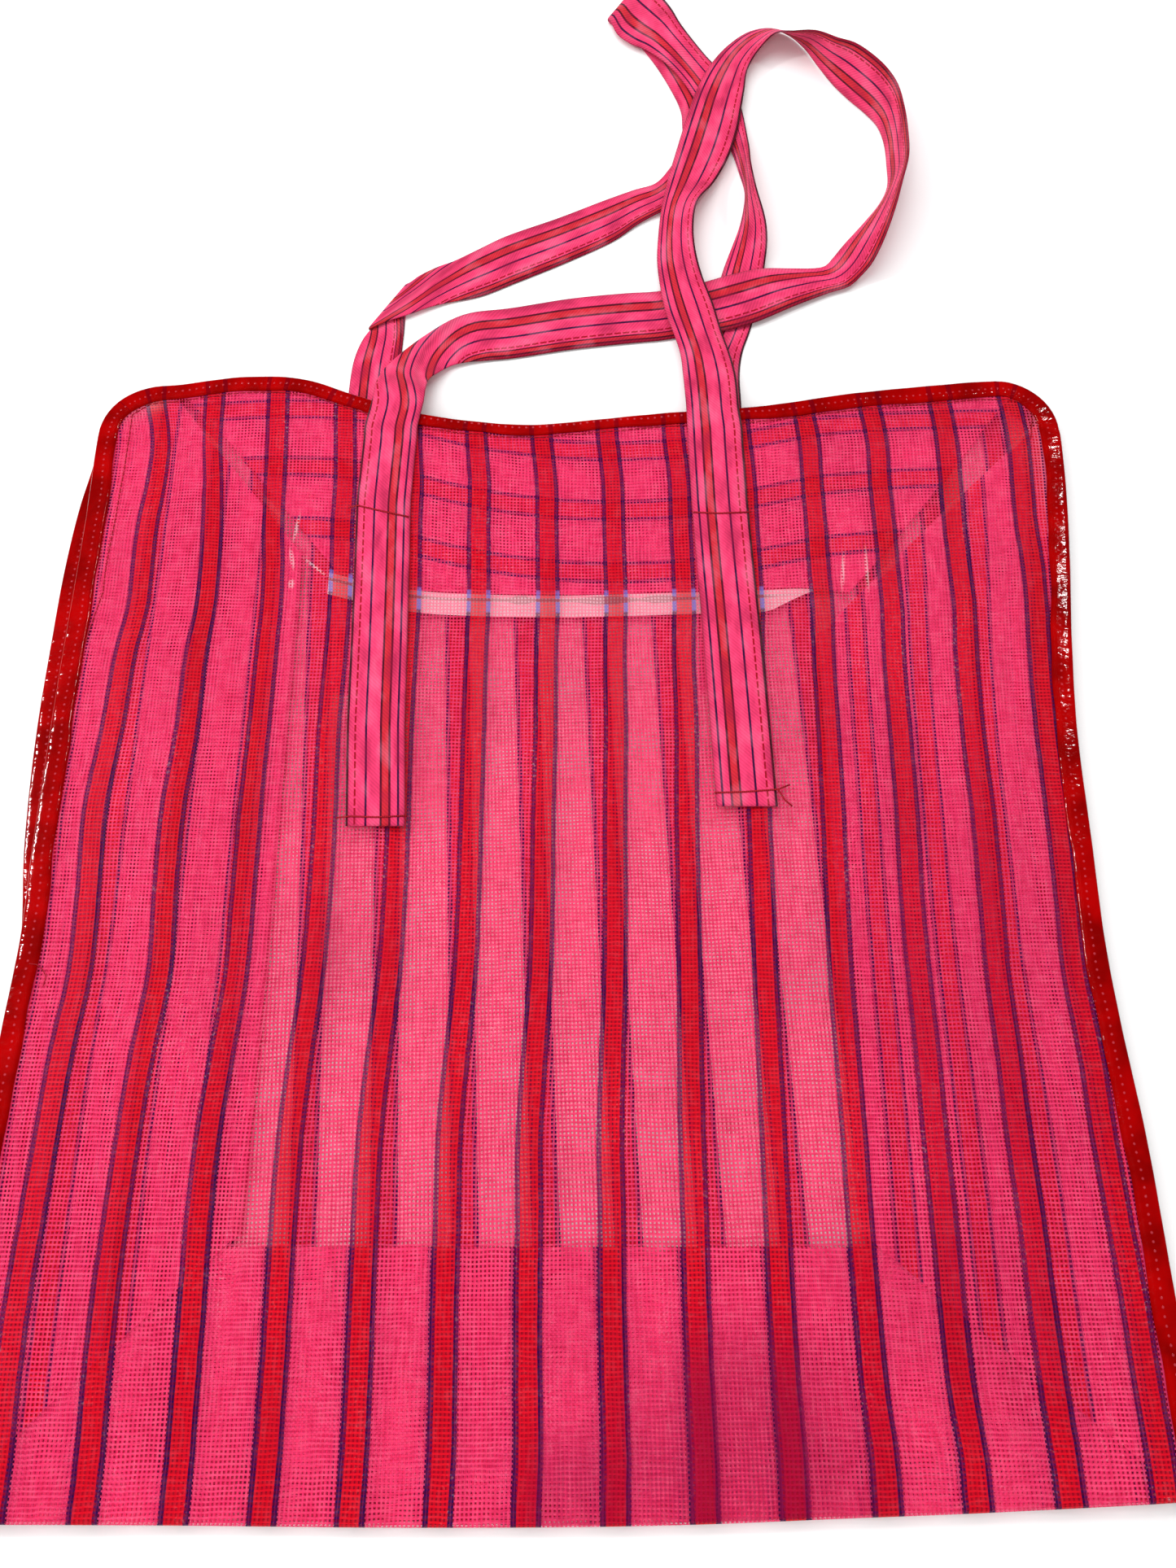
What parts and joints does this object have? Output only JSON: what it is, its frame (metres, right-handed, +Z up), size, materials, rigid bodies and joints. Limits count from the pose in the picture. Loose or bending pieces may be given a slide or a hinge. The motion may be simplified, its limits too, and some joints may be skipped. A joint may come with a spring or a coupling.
{
  "type": "striped mesh market bag",
  "caption": "Striped mesh market bag folded flat on its back, with red vinyl edges and woven carrying straps lying above its mouth.",
  "frame": {"origin": "middle of the footprint, on the surface that the bag lies on", "axes": "+X across the bag, +Y from its base to its mouth and straps, +Z up from the surface"},
  "size_m": [0.4921, 0.803, 0.0262],
  "materials": {
    "mesh_cloth": "open woven plastic mesh with red and purple stripes",
    "red_vinyl": "glossy",
    "strap_cloth": "twill with stripes",
    "pale_tape": "satin"
  },
  "bodies": {
    "root": {"body_cloth": "mesh_cloth", "gusset_left": "mesh_cloth", "gusset_right": "mesh_cloth", "closure_front": "mesh_cloth", "closure_back": "mesh_cloth", "closure_tape": "pale_tape", "binding_front": "red_vinyl", "binding_back": "red_vinyl", "strap_front": "strap_cloth", "strap_back": "strap_cloth"}
  },
  "joints": []
}
